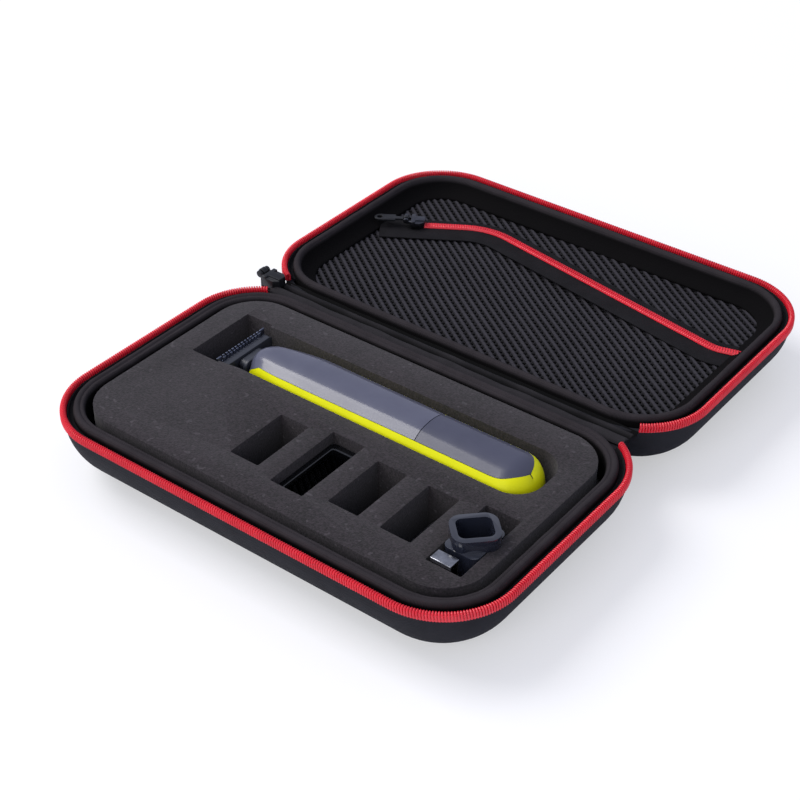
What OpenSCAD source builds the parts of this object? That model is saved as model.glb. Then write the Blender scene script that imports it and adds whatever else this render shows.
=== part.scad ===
// Zipped hard case for an electric shaver, lying open with its contents in place
// Origin at the centre of the base half's flat underside, lid towards +Y, millimetres

/* [Case] */
// Length over the zip
case_length = 212; // [196:1:240]
// Width of one half over the zip
case_width = 132; // [126:1:150]
// Depth of one half, from its flat underside to the closing plane
half_depth = 30; // [29:0.5:36]
// Corner radius in plan, over the zip
corner_radius = 32; // [30:1:40]
// Radius of the rounded bottom edge
edge_radius = 26; // [20:1:27]
// Thickness of the moulded shell
shell_wall = 2.4; // [1.6:0.2:3]
// Gap between the two halves at the hinge, over the zip
hinge_gap = 2.4; // [2:0.2:6]

/* [Zip] */
// Height of the main coil band
coil_height = 4; // [3:0.2:5]
// Width of the main coil band
coil_width = 2.6; // [2:0.2:3]
// How far the coil stands out past the shell
coil_proud = 1.2; // [0.6:0.1:1.6]
// Gap from the coil to the closing plane
closing_gap = 0.6; // [0.4:0.1:1]
// Distance from the axis of the hinge-side corners to each end of the zip
zip_reach = 17; // [14:1:20]
// Length of the main slider
main_slider_length = 11; // [9:0.5:11]
// Length of the main slider's pull
main_pull_length = 24; // [18:1:24]

/* [Lining] */
// Inset of the padded lip from the outer edge
lip_inset = 5.2; // [4.8:0.1:5.6]
// Width of the padded lip
lip_width = 5.4; // [4.4:0.2:5.8]
// Inset of the foam from the outer edge
foam_inset = 13.2; // [12.4:0.2:14]
// Thickness of the pad under the foam
pad_thickness = 3; // [2:0.5:4]

/* [Foam cut-outs] */
// Distance between the middles of neighbouring slots
slot_pitch = 24; // [23:0.5:25]
// Middle of the first slot along the case
slot_start = -17; // [-20:1:-16]
// Middle of the slots across the case
slot_middle = -22; // [-24:1:-21]
// Width of the narrow slots
narrow_slot_width = 14; // [13.8:0.2:16]
// Length of the narrow slots
narrow_slot_length = 30; // [29:1:34]
// Width of the wide slots
wide_slot_width = 15.5; // [15.2:0.1:17]
// Length of the wide slots
wide_slot_length = 37.5; // [37:0.5:40]
// Clearance of the contents from the foam
fit_gap = 0.3; // [0.3:0.05:0.4]

/* [Shaver] */
// Length of the handle
handle_length = 139; // [132:1:140]
// Width of the handle
handle_width = 27.4; // [24:0.2:27.6]
// Height of the handle
handle_height = 28.3; // [25:0.1:29]
// Middle of the handle across the case
shaver_middle = 20.5; // [20:0.5:22]
// Distance from the middle of the case to the handle's rear end
handle_rear = 79; // [76:1:79]
// Length of the rear cover of the handle's back
rear_cover_length = 51; // [40:1:60]
// Width of the blade head
head_width = 29; // [26:0.5:29]
// Height of the blade head
head_height = 13; // [11:0.5:14]
// Distance between cutter teeth
tooth_pitch = 1.9; // [1.7:0.1:2.4]
// Side-to-side stroke of the cutter each way
cutter_stroke = 1; // [0.6:0.1:1.2]
// Diameter of the power button
button_diameter = 10; // [8:0.5:12]
// Travel of the power button
button_travel = 0.8; // [0.5:0.1:1]

/* [Attachments] */
// Number of teeth on the trimming comb
trim_comb_teeth = 8; // [6:1:9]
// Number of teeth on the stubble comb
stubble_comb_teeth = 10; // [8:1:12]
// Height of the trimming comb
trim_comb_height = 15; // [13:0.5:17]
// Height of the stubble comb
stubble_comb_height = 19; // [17:0.5:20]
// Thickness of the skin guard's rim
guard_wall = 2.4; // [1.6:0.2:3]

/* [Lid pocket] */
// Depth of the mesh below the closing plane
mesh_drop = 8.6; // [7.6:0.2:10]
// Thickness of the mesh
mesh_thickness = 0.8; // [0.6:0.1:1.2]
// Distance between mesh gaps along a row
mesh_pitch = 7.6; // [7:0.2:10]
// Distance between rows of mesh gaps
row_pitch = 8.4; // [8:0.2:12]
// Length of one mesh gap
gap_length = 5.2; // [4:0.2:5.4]
// Width of one mesh gap
gap_width = 3; // [2:0.2:3.2]
// Direction of the mesh's ribs
rib_angle = -35; // [-45:1:-25]
// Width of the pocket coil
pocket_coil_width = 3.6; // [3:0.2:4]
// Height of the pocket coil
pocket_coil_height = 1.6; // [1.2:0.1:1.8]
// Thickness of the pocket tape
pocket_tape_thickness = 0.6; // [0.4:0.1:0.8]
// Width of the tape on the far side of the coil
tape_far = 6.5; // [5:0.5:8]
// Width of the tape on the near side of the coil
tape_near = 10.5; // [7:0.5:12]
// Length of the pocket slider
pocket_slider_length = 9; // [8:0.5:11]
// Length of the pocket pull
pocket_pull_length = 15; // [12:0.5:16]

/* [Hidden] */

$fn = 64;
eps = 0.01;
far = 500;
slide_gap = 0.3;
core_x = case_length / 2 - corner_radius;
core_y = case_width / 2 - corner_radius;
zip_end = core_x + zip_reach;
hinge_y = case_width / 2 + hinge_gap / 2;
lid_y = 2 * hinge_y;
shell_top = half_depth - closing_gap - coil_height;
coil_top = half_depth - closing_gap;
lip_top = half_depth - closing_gap / 2;
inner_inset = coil_proud + shell_wall;
inner_edge = edge_radius - shell_wall;
lining_shelf = shell_top - 1.4;
lining_foot = 10;
tape_wall = 1.2;
pad_top = shell_wall + pad_thickness;
foam_top = coil_top;
rest_z = pad_top + fit_gap;
slot_wide = [false, true, false, false, true];
slot_corner = 0.6;

// Round and straight stretches of a profile swept round the rim
module rim_sweep() {
    for (c = [[1, 1, 0], [-1, 1, 90], [-1, -1, 180], [1, -1, 270]])
        translate([c[0] * core_x, c[1] * core_y, 0])
            rotate([0, 0, c[2]])
                rotate_extrude(angle = 90) children();
    for (turn = [0, 180]) {
        rotate([0, 0, turn])
            translate([core_x, 0, 0])
                rotate([90, 0, 0])
                    linear_extrude(2 * core_y, center = true) children();
        rotate([0, 0, turn + 90])
            translate([core_y, 0, 0])
                rotate([90, 0, 0])
                    linear_extrude(2 * core_x, center = true) children();
    }
}

// Half section of a tray, from the corner's axis outwards
module tray_profile(inset, height, edge) {
    reach = corner_radius - inset;
    difference() {
        square([reach, height]);
        translate([reach - edge, 0])
            difference() {
                translate([0, -1]) square([edge + 1, edge + 1]);
                translate([0, edge]) circle(edge);
            }
    }
}

module tray_block(inset, height, edge) {
    rim_sweep() tray_profile(inset, height, edge);
    translate([-core_x, -core_y, 0])
        cube([2 * core_x, 2 * core_y, height]);
}

// Rounded outline of the case in plan, moved in by an inset
module plan(inset) {
    r = corner_radius - inset;
    for (x = [-core_x, core_x], y = [-core_y, core_y])
        translate([x, y]) circle(r);
    square([2 * (core_x + r), 2 * core_y], center = true);
    square([2 * core_x, 2 * (core_y + r)], center = true);
}

// The stretch along the hinge that has no zip
module hinge_stretch() {
    translate([-zip_end, core_y, -1])
        cube([2 * zip_end, far, far]);
}

// Places a half of the case as the lid, opened flat about the hinge
module as_lid() {
    translate([0, lid_y, 0]) mirror([0, 1, 0]) children();
}

module case_shell() {
    difference() {
        tray_block(coil_proud, shell_top, edge_radius);
        translate([0, 0, shell_wall])
            tray_block(inner_inset, half_depth, inner_edge);
    }
}

module lining_profile() {
    reach = corner_radius - lip_inset;
    round_r = lip_width / 2;
    intersection() {
        union() {
            translate([reach - lip_width, lining_foot])
                square([lip_width, lip_top - round_r - lining_foot]);
            translate([reach - round_r, lip_top - round_r]) circle(round_r);
            translate([reach - lip_width, lining_foot])
                square([lip_width + lip_inset, lining_shelf - lining_foot]);
        }
        translate([0, shell_wall])
            tray_profile(inner_inset, half_depth, inner_edge);
    }
}

module case_lining() {
    rim_sweep() lining_profile();
}

// Tape that stands behind the coil, its foot sewn inside the shell's rim
module case_zip_tape() {
    behind_coil = corner_radius - coil_width;
    sewn_gap = 0.2;
    difference() {
        rim_sweep() {
            translate([corner_radius - lip_inset, lining_shelf])
                square([lip_inset - inner_inset - sewn_gap, shell_top - lining_shelf]);
            translate([corner_radius - lip_inset, shell_top])
                square([lip_inset - coil_width, tape_wall / 2]);
            translate([behind_coil - tape_wall, shell_top])
                square([tape_wall, coil_height - slide_gap]);
        }
        hinge_stretch();
    }
}

module case_zip_coil() {
    r = coil_width / 2;
    difference() {
        rim_sweep()
            translate([corner_radius - r, shell_top]) {
                translate([0, r]) circle(r);
                translate([0, coil_height - r]) circle(r);
                translate([-r, r]) square([coil_width, coil_height - coil_width]);
            }
        hinge_stretch();
    }
}

module base_shell() { color("#17171c") case_shell(); }
module base_lining() { color("#3b373b") case_lining(); }
module base_zip_tape() { color("#101013") case_zip_tape(); }
module base_zip_coil() { color("#d92c3c") case_zip_coil(); }
module lid_shell() { color("#17171c") as_lid() case_shell(); }
module lid_lining() { color("#3b373b") as_lid() case_lining(); }
module lid_zip_tape() { color("#101013") as_lid() case_zip_tape(); }
module lid_zip_coil() { color("#d92c3c") as_lid() case_zip_coil(); }

// Space inside a shell that a soft filling may take, bottom edge rounded
module inner_space() {
    translate([0, 0, shell_wall])
        tray_block(inner_inset + slide_gap, half_depth, inner_edge - slide_gap);
}

module lid_floor_pad() {
    lid_pad = 1.2;
    color("#1c1c20")
        translate([0, lid_y, 0])
            intersection() {
                translate([0, 0, shell_wall])
                    linear_extrude(lid_pad) plan(foam_inset);
                inner_space();
            }
}

// Middle of a slot along the case
function slot_x(i) = slot_start + i * slot_pitch;
function slot_w(i) = slot_wide[i] ? wide_slot_width : narrow_slot_width;
function slot_l(i) = slot_wide[i] ? wide_slot_length : narrow_slot_length;

module slot_outline(i) {
    w = slot_w(i) - 2 * slot_corner;
    l = slot_l(i) - 2 * slot_corner;
    translate([slot_x(i), slot_middle]) {
        for (x = [-w / 2, w / 2], y = [-l / 2, l / 2])
            translate([x, y]) circle(slot_corner);
        square([w + 2 * slot_corner, l], center = true);
        square([w, l + 2 * slot_corner], center = true);
    }
}

channel_near = shaver_middle - handle_width / 2 - fit_gap;
channel_far = channel_near + handle_width + 3.4;
channel_end = handle_rear + 2.6;
channel_round = 12;
neck_x = handle_rear - handle_length - 8;
pocket_left = neck_x - 14;
pocket_near = shaver_middle - head_width / 2 - 1.6;
pocket_far = shaver_middle + head_width / 2 + 3.6;

// Cavity for the shaver: head pocket, slanted neck and round-ended channel
module shaver_outline() {
    translate([pocket_left, pocket_near])
        square([neck_x - pocket_left, pocket_far - pocket_near]);
    translate([neck_x - 2, channel_near])
        square([channel_end - channel_round - neck_x + 2, channel_far - channel_near]);
    for (y = [channel_near + channel_round, channel_far - channel_round])
        translate([channel_end - channel_round, y]) circle(channel_round);
    translate([channel_end - channel_round, channel_near + channel_round])
        square([channel_round, channel_far - channel_near - 2 * channel_round]);
    polygon([
        [neck_x - 2, pocket_near + 0.6], [neck_x + 10, channel_near + eps],
        [neck_x + 10, channel_far - eps], [neck_x - 2, pocket_far - 2]
    ]);
}

module foam_floor_pad() {
    color("#2c292c")
        intersection() {
            translate([0, 0, shell_wall])
                linear_extrude(pad_thickness) plan(foam_inset);
            inner_space();
        }
}

module foam_insert() {
    color("#4a454a")
        intersection() {
            translate([0, 0, pad_top])
                linear_extrude(foam_top - pad_top)
                    difference() {
                        plan(foam_inset);
                        shaver_outline();
                        for (i = [0 : len(slot_wide) - 1]) slot_outline(i);
                    }
            inner_space();
        }
}

strip_thickness = 1;
strip_lap = case_width / 2 - (lip_inset - 0.4);

// Fabric that joins the two halves, lying on the edges of both shells
module hinge_strip() {
    half_length = core_x + 4;
    color("#141417")
        translate([-half_length, strip_lap, shell_top])
            cube([2 * half_length, 2 * (hinge_y - strip_lap), strip_thickness]);
}

patch_top = shell_top + 1.1;
patch_length = 10;
patch_gap = 1;
patch_inner = zip_end - patch_length - patch_gap;

// Fabric patches that close the two ends of the hinge
module zip_end_patches() {
    color("#141417")
        for (side = [-1, 1])
            difference() {
                translate([side * (patch_inner + patch_length / 2) - patch_length / 2,
                        strip_lap - 1, shell_top - 2.4])
                    cube([patch_length, hinge_y + 1 - strip_lap + 1,
                        patch_top - shell_top + 2.4]);
                tray_block(coil_proud, shell_top, edge_radius);
            }
}

eye_gap = 0.25;
eye_wall = 0.75;
swing_gap = 0.8;
// Outer radius of a pull's eye round a bar
function eye_outer(bar_r) = bar_r + eye_gap + eye_wall;

// Slider body with a round bar across its tail, the bar's middle at the origin
module slider_body(length, width, height, bar_r, ear) {
    nose = width * 0.3;
    drop = height - bar_r;
    body_x = eye_outer(bar_r) + swing_gap;
    difference() {
        translate([body_x, 0, -drop])
            linear_extrude(height)
                polygon([
                    [0, -width / 2], [length - body_x - nose, -width / 2],
                    [length - body_x, -width / 4], [length - body_x, width / 4],
                    [length - body_x - nose, width / 2], [0, width / 2]
                ]);
        translate([body_x + 2, -width / 2 - 1, bar_r - 0.8])
            cube([length, width / 4 + 1, 2]);
        translate([body_x + 2, width / 4, bar_r - 0.8])
            cube([length, width / 4 + 1, 2]);
    }
    for (side = [-1, 1])
        translate([0, side * (ear / 2 + slide_gap + 0.6), 0]) {
            rotate([90, 0, 0]) cylinder(h = 1.2, r = bar_r + 0.7, center = true);
            translate([0, -0.6, -bar_r - 0.7])
                cube([body_x + eps, 1.2, 2 * bar_r]);
        }
    rotate([90, 0, 0])
        cylinder(h = ear + 2 * slide_gap + 1.2, r = bar_r, center = true);
}

// Pull with an eye round the bar, pointing to -X from the origin
module pull_tab(length, width, thickness, bar_r, ear) {
    eye_r = bar_r + eye_gap;
    difference() {
        union() {
            rotate([90, 0, 0]) cylinder(h = ear, r = eye_outer(bar_r), center = true);
            translate([-length / 3, -ear / 2, -thickness / 2])
                cube([length / 3 - eye_r, ear, thickness]);
            translate([-length + width / 2, 0, 0])
                cylinder(h = thickness, r = width / 2, center = true);
            translate([-length + width / 2, -width / 2, -thickness / 2])
                cube([length * 2 / 3 - width / 2, width, thickness]);
        }
        rotate([90, 0, 0]) cylinder(h = ear + 1, r = eye_r, center = true);
        translate([-length + width / 2, 0, 0])
            cylinder(h = thickness + 1, r = width / 4, center = true);
    }
}

main_bar = 0.9;
main_ear = 2.8;
main_slider_height = 5;
main_slider_width = 8;
main_bar_z = patch_top + main_slider_height - main_bar;
main_bar_out = 7;
main_bar_x = -zip_end - main_bar_out;

module at_main_bar() {
    translate([main_bar_x, hinge_y, main_bar_z]) children();
}

module main_slider() {
    color("#26262b")
        at_main_bar()
            slider_body(main_slider_length, main_slider_width, main_slider_height,
                main_bar, main_ear);
}

module main_pull() {
    pull_width = 7;
    pull_thickness = 1.4;
    color("#26262b")
        at_main_bar()
            rotate([0, -90, 0])
                pull_tab(main_pull_length, pull_width, pull_thickness, main_bar, main_ear);
}

// The pocket zip runs straight, round a bend, straight down and round a short end
track_start = [14 - case_length / 2, 9.5];
track_heading = 32;
track_first = 40;
track_bend_r = 30;
track_fall = -10;
track_long = case_length - 93.2;
track_end_r = 16;
track_end_heading = 15;
track_tail = 9;

function along(p, heading, d) = p + d * [cos(heading), sin(heading)];
function left_of(p, heading, d) = p + d * [-sin(heading), cos(heading)];

bend_from = along(track_start, track_heading, track_first);
bend_centre = left_of(bend_from, track_heading, -track_bend_r);
bend_to = left_of(bend_centre, track_fall, track_bend_r);
end_from = along(bend_to, track_fall, track_long);
end_centre = left_of(end_from, track_fall, track_end_r);
end_to = left_of(end_centre, track_end_heading, -track_end_r);
track_stop = along(end_to, track_end_heading, track_tail);

bend_steps = 7;

// Points beside the pocket zip, d to the far side of it, from skip along it
function track_side(d, skip = 0) = concat(
    [left_of(along(track_start, track_heading, skip), track_heading, d)],
    [for (i = [0 : bend_steps])
        left_of(bend_centre, track_heading + (track_fall - track_heading) * i / bend_steps,
            track_bend_r + d)],
    [for (i = [0 : bend_steps])
        left_of(end_centre, track_fall + (track_end_heading - track_fall) * i / bend_steps,
            d - track_end_r)],
    [left_of(track_stop, track_end_heading, d)]
);
function backwards(points) = [for (i = [len(points) - 1 : -1 : 0]) points[i]];

// Flat band along the pocket zip, between two distances from its middle
module track_band(near, away, skip = 0) {
    polygon(concat(track_side(away, skip), backwards(track_side(-near, skip))));
}

mesh_top = half_depth - mesh_drop;
tape_top = mesh_top + pocket_tape_thickness;
mesh_edge = lip_inset + lip_width;

// Line of the pocket zip, its ends run out past the lining
track_run_out = 60;
track_line = concat(
    [along(track_start, track_heading, -track_run_out)], track_side(0),
    [along(track_stop, track_end_heading, track_run_out)]
);

// Rows of slanted gaps, kept off the tape and the edges
module mesh_gaps() {
    rows = ceil(case_width / row_pitch);
    columns = ceil(case_length / mesh_pitch);
    intersection() {
        plan(mesh_edge + 4);
        for (row = [-rows / 2 : rows / 2], column = [-columns / 2 : columns / 2])
            translate([(column + (row % 2) / 2) * mesh_pitch, row * row_pitch])
                rotate(rib_angle)
                    square([gap_length, gap_width], center = true);
    }
}

// One side of the lid pocket: -1 near the hinge, 1 at the far edge
module mesh_panel(side) {
    zip_slit = 0.2;
    tape_margin = 1.2;
    translate([0, lid_y, mesh_top - mesh_thickness])
        linear_extrude(mesh_thickness)
            difference() {
                intersection() {
                    plan(mesh_edge);
                    translate([0, side * zip_slit])
                        polygon(concat(track_line,
                            [[far, side * far], [-far, side * far]]));
                }
                difference() {
                    mesh_gaps();
                    track_band(tape_near + tape_margin, tape_far + tape_margin);
                }
            }
}

module pocket_mesh_near() { color("#2a2a2f") mesh_panel(-1); }
module pocket_mesh_far() { color("#2a2a2f") mesh_panel(1); }

module pocket_tape() {
    color("#121215")
        translate([0, lid_y, mesh_top])
            linear_extrude(pocket_tape_thickness)
                intersection() {
                    track_band(tape_near, tape_far);
                    plan(mesh_edge);
                }
}

slider_at = 12;
pocket_bar = 0.6;
pocket_ear = 2.2;
pocket_slider_height = pocket_coil_height + eye_outer(pocket_bar) + pocket_bar;
pocket_slider_width = 7.6;
pocket_bar_z = tape_top + slide_gap + pocket_slider_height - pocket_bar;

// Closed coil: a flat band with the narrower ridge of its loops on top
module pocket_coil() {
    ridge_width = pocket_coil_width * 0.62;
    from = slider_at + pocket_slider_length - 1;
    color("#e0283c")
        translate([0, lid_y, tape_top])
            for (layer = [[pocket_coil_width / 2, pocket_coil_height * 0.6],
                          [ridge_width / 2, pocket_coil_height]])
                linear_extrude(layer[1])
                    intersection() {
                        track_band(layer[0], layer[0], from);
                        plan(mesh_edge);
                    }
}

// Frame of the pocket zip's slider: +X along the zip, the pull's bar at the origin
module at_pocket_bar() {
    translate(concat(along(track_start, track_heading, slider_at)
            + [0, lid_y], [pocket_bar_z]))
        rotate([0, 0, track_heading]) children();
}

module pocket_slider() {
    channel = pocket_coil_width + 2 * slide_gap;
    color("#8d9096")
        at_pocket_bar()
            difference() {
                slider_body(pocket_slider_length, pocket_slider_width,
                    pocket_slider_height, pocket_bar, pocket_ear);
                translate([-1, -channel / 2, -far])
                    cube([far, channel, far - pocket_bar_z + tape_top + slide_gap
                        + pocket_coil_height]);
            }
}

module pocket_pull() {
    pull_width = 5;
    pull_thickness = 1;
    color("#2b2b30")
        at_pocket_bar()
            pull_tab(pocket_pull_length, pull_width, pull_thickness,
                pocket_bar, pocket_ear);
}

// Smooth step from 0 to 1 as t goes from 0 to 1
function ease(t) = let (c = min(1, max(0, t))) c * c * (3 - 2 * c);
// Rounding towards an end, from near 0 at the end to 1 a radius away
function end_round(d, r) = d >= r ? 1 : sqrt(max(0.02, 1 - pow(1 - d / r, 2)));

handle_front = handle_rear - handle_length;
handle_top = rest_z + handle_height;
rear_round = 12;
front_round = 9;
front_taper = 22;

// From 0 at the blade end of the handle to 1 at its rear
function handle_share(x) = (x - handle_front) / handle_length;
function handle_upper(x) =
    handle_top - handle_height * 0.1 * (1 - ease(handle_share(x) / 0.3));
function handle_lower(x) =
    rest_z + handle_height * 0.16 * (1 - ease(handle_share(x) / 0.72));
function handle_half_width(x) =
    handle_width / 2 * end_round(handle_rear - x, rear_round)
        * (0.42 + 0.58 * end_round(x - handle_front, front_taper));
function handle_middle(x) = (handle_upper(x) + handle_lower(x)) / 2;
function handle_half_height(x) =
    (handle_upper(x) - handle_lower(x)) / 2 * end_round(handle_rear - x, rear_round)
        * (0.62 + 0.38 * end_round(x - handle_front, front_round));
function bulge(v) = sign(v) * pow(abs(v), 0.78);

// The handle's smooth outer form
module handle_form() {
    around = 28;
    stations = 17;
    xs = [for (i = [0 : stations - 1])
        handle_rear - handle_length * (1 - cos(180 * i / (stations - 1))) / 2];
    points = [for (x = xs, j = [0 : around - 1])
        let (a = 360 * j / around)
        [x, shaver_middle + handle_half_width(x) * bulge(cos(a)),
            handle_middle(x) + handle_half_height(x) * bulge(sin(a))]];
    sides = [for (i = [0 : stations - 2], j = [0 : around - 1])
        let (k = (j + 1) % around)
        each [[i * around + j, i * around + k, (i + 1) * around + j],
            [i * around + k, (i + 1) * around + k, (i + 1) * around + j]]];
    last = (stations - 1) * around;
    polyhedron(points, concat(sides,
        [[for (j = [around - 1 : -1 : 0]) j]],
        [[for (j = [0 : around - 1]) last + j]]));
}

seam_z = foam_top + 1.4;
cover_break = handle_rear - rear_cover_length;
back_end_r = handle_width / 2 + 0.3;

// Region above the seam between the front and the back of the handle
module back_region(from_x, to_x) {
    back_end = handle_rear - 4.6;
    intersection() {
        translate([0, shaver_middle + handle_width, 0])
            rotate([90, 0, 0])
                linear_extrude(2 * handle_width)
                    polygon([
                        [handle_front - 1, seam_z - 11], [handle_front + 3, seam_z - 4.6],
                        [handle_front + 8, seam_z - 1.4], [handle_front + 26, seam_z - 0.2],
                        [handle_rear + 1, seam_z], [handle_rear + 1, far],
                        [handle_front - 1, far]
                    ]);
        linear_extrude(far) {
            translate([handle_front - 1, shaver_middle - handle_width])
                square([back_end - back_end_r - handle_front + 1, 2 * handle_width]);
            translate([back_end - back_end_r, shaver_middle]) circle(back_end_r);
        }
        translate([from_x, -far, -far]) cube([to_x - from_x, 2 * far, 2 * far]);
    }
}

button_x = handle_front + handle_length * 0.42;
button_height = 3;
button_proud = 0.5;
button_r = button_diameter / 2;
button_z = handle_lower(button_x) - button_proud + fit_gap;
socket_r = 2.6;
socket_depth = 7;
socket_z = handle_middle(handle_rear - rear_round);

module button_well() {
    translate([button_x, shaver_middle, 0])
        cylinder(h = button_z + button_height + button_travel + slide_gap,
            r = button_r + 0.2);
}

module handle_front_shell() {
    color("#e6ee3c")
        difference() {
            handle_form();
            back_region(-far, far);
            button_well();
            translate([handle_rear - socket_depth, shaver_middle, socket_z])
                rotate([0, 90, 0]) cylinder(h = far, r = socket_r);
        }
}

module handle_back_shell() {
    color("#666a78")
        intersection() {
            handle_form();
            back_region(-far, cover_break - 0.15);
        }
}

module handle_rear_cover() {
    color("#5f6372")
        intersection() {
            handle_form();
            back_region(cover_break + 0.15, far);
        }
}

module power_button() {
    color("#c9cdd2")
        translate([button_x, shaver_middle, button_z])
            difference() {
                cylinder(h = button_height, r = button_r);
                translate([0, 0, -eps]) cylinder(h = 0.5, r = button_r * 0.55);
            }
}

module charge_socket() {
    pin_r = 0.7;
    color("#202226")
        translate([handle_rear - socket_depth, shaver_middle, socket_z])
            rotate([0, 90, 0]) {
                difference() {
                    cylinder(h = socket_depth - 1.2, r = socket_r);
                    translate([0, 0, 1.5]) cylinder(h = far, r = socket_r - 0.8);
                }
                cylinder(h = socket_depth - 2, r = pin_r);
            }
}

mount_length = 5;
head_back = handle_front - mount_length - slide_gap;
head_mid_z = handle_middle(handle_front) + 1.5;
frame_depth = 3.4;
cutter_thickness = 0.6;
guard_thickness = 0.7;
cutter_x = head_back - frame_depth - cutter_thickness - slide_gap / 2;
guard_x = cutter_x - guard_thickness - slide_gap / 2;
pin_radius = 1.1;
pin_window = 2 * (pin_radius + cutter_stroke + slide_gap);

// Outline with rounded ends, seen along the handle, Y across and Z up
module head_outline(width, height, corner) {
    for (y = [-1, 1], z = [-1, 1])
        translate([y * (width / 2 - corner), z * (height / 2 - corner)]) circle(corner);
    square([width - 2 * corner, height], center = true);
    square([width, height - 2 * corner], center = true);
}

// A plate seen along the handle, its front face at x, thickness towards +X
module head_plate(x, thickness) {
    translate([x, shaver_middle, head_mid_z])
        rotate([90, 0, 90]) linear_extrude(thickness) children();
}

module blade_mount() {
    color("#3a3d45")
        difference() {
            union() {
                head_plate(handle_front - mount_length, mount_length)
                    head_outline(handle_width * 0.5, head_height * 0.62, 2.4);
                head_plate(handle_front - 1.6, 1.6)
                    head_outline(handle_width * 0.6, head_height * 0.8, 3);
            }
            head_plate(handle_front - mount_length - 1, mount_length - 0.6)
                square([pin_window, 2 * pin_radius + 2 * slide_gap], center = true);
        }
}

module drive_pin() {
    start = handle_front - 1.6 - slide_gap;
    color("#b9bcc2")
        translate([cutter_x + slide_gap / 2, shaver_middle, head_mid_z])
            rotate([0, 90, 0]) cylinder(h = start - cutter_x - slide_gap, r = pin_radius);
}

horn_width = 1.6;

module blade_frame() {
    color("#2d3036")
        difference() {
            head_plate(guard_x + guard_thickness, head_back - guard_x - guard_thickness)
                head_outline(head_width, head_height - 3, 2);
            head_plate(guard_x, cutter_x + cutter_thickness + slide_gap / 2 - guard_x)
                square([head_width - 2 * horn_width, far], center = true);
            head_plate(-far, 2 * far)
                square([pin_window, 2 * pin_radius + 2 * slide_gap], center = true);
        }
}

// Plate whose two long edges are cut into teeth, slots in step with the middle
module toothed_plate(width, height, slot, depth, margin) {
    count = floor((width / 2 - margin) / tooth_pitch);
    difference() {
        square([width, height], center = true);
        for (i = [-count : count], z = [-1, 1])
            translate([i * tooth_pitch, z * (height / 2 - depth / 2 + 0.5)])
                square([slot, depth + 1], center = true);
    }
}

module blade_guard() {
    color("#9a9ea6")
        head_plate(guard_x, guard_thickness)
            toothed_plate(head_width, head_height + 1, 0.9, 2.6, horn_width + 0.6);
}

module blade_cutter() {
    reach = head_width - 2 * horn_width - 2 * cutter_stroke - 2 * slide_gap;
    color("#c3c6cb")
        head_plate(cutter_x, cutter_thickness)
            difference() {
                toothed_plate(reach, head_height, 0.9, 2.2, 0.6);
                square([2 * pin_radius + 0.1, 2 * pin_radius + 2], center = true);
            }
}

// Clip-on comb: window frame at the bottom and curved teeth over it
module comb_attachment(width, length, height, teeth) {
    frame_h = 3.2;
    tooth = 1;
    rib = 2;
    cheek = 1.6;
    span = length - 2 * cheek - 2;
    difference() {
        linear_extrude(frame_h) head_outline(width, length, 2);
        translate([0, 0, -1])
            linear_extrude(frame_h + 2) head_outline(width - 5, length - 2 * cheek - 3, 1.4);
    }
    for (side = [-1, 1])
        translate([0, side * (length / 2 - cheek / 2), 0])
            rotate([90, 0, 0])
                linear_extrude(cheek, center = true)
                    intersection() {
                        translate([-width / 2 + 1, frame_h - 1])
                            square([width - 2, height - frame_h - 2]);
                        translate([width / 2 - 1, 0]) circle(height - 2.2);
                    }
    for (i = [0 : teeth - 1])
        translate([0, -span / 2 + span * i / (teeth - 1), 0])
            rotate([90, 0, 0])
                linear_extrude(tooth, center = true)
                    difference() {
                        intersection() {
                            translate([-width / 2, frame_h - 1]) square([width, height]);
                            translate([width / 2, 0])
                                tooth_arc(width, height);
                        }
                        translate([width / 2, 0])
                            tooth_arc(width - rib, height - rib);
                    }
}

// Outline that bulges from the left side to the top, as two circles' overlap
module tooth_arc(width, height) {
    intersection() {
        circle(height);
        translate([height - width, 0]) circle(height);
    }
}

comb_gap = 2 * fit_gap;

module trim_comb() {
    i = 3;
    color("#2a2d33")
        translate([slot_x(i), slot_middle, rest_z])
            comb_attachment(slot_w(i) - comb_gap, slot_l(i) - comb_gap - 1,
                trim_comb_height, trim_comb_teeth);
}

module stubble_comb() {
    i = 1;
    color("#1b1d21")
        translate([slot_x(i), slot_middle, rest_z + stubble_comb_height])
            rotate([180, 0, 0])
                comb_attachment(slot_w(i) - comb_gap, slot_l(i) - comb_gap - 1,
                    stubble_comb_height, stubble_comb_teeth);
}

guard_slot = 4;
guard_turn = 45;
guard_long = 18.2;
guard_short = 15.7;
guard_corner = 5;
guard_rise = 5.2;
guard_stem_length = 20;
guard_y = slot_middle + 0.6;

module skin_guard() {
    stem_w = slot_w(guard_slot) - comb_gap;
    rim_z = foam_top + fit_gap;
    color("#4a4e58")
        translate([slot_x(guard_slot), guard_y, 0])
            difference() {
                union() {
                    translate([0, 0, rest_z])
                        linear_extrude(rim_z - rest_z + eps)
                            head_outline(stem_w, guard_stem_length, 3);
                    translate([0, 0, rim_z])
                        rotate([0, 0, guard_turn])
                            linear_extrude(guard_rise)
                                head_outline(guard_long, guard_short, guard_corner);
                }
                translate([0, 0, rim_z - 9])
                    linear_extrude(far)
                        rotate(guard_turn)
                            head_outline(guard_long - 2 * guard_wall,
                                guard_short - 2 * guard_wall, guard_corner - guard_wall);
            }
}

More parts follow.
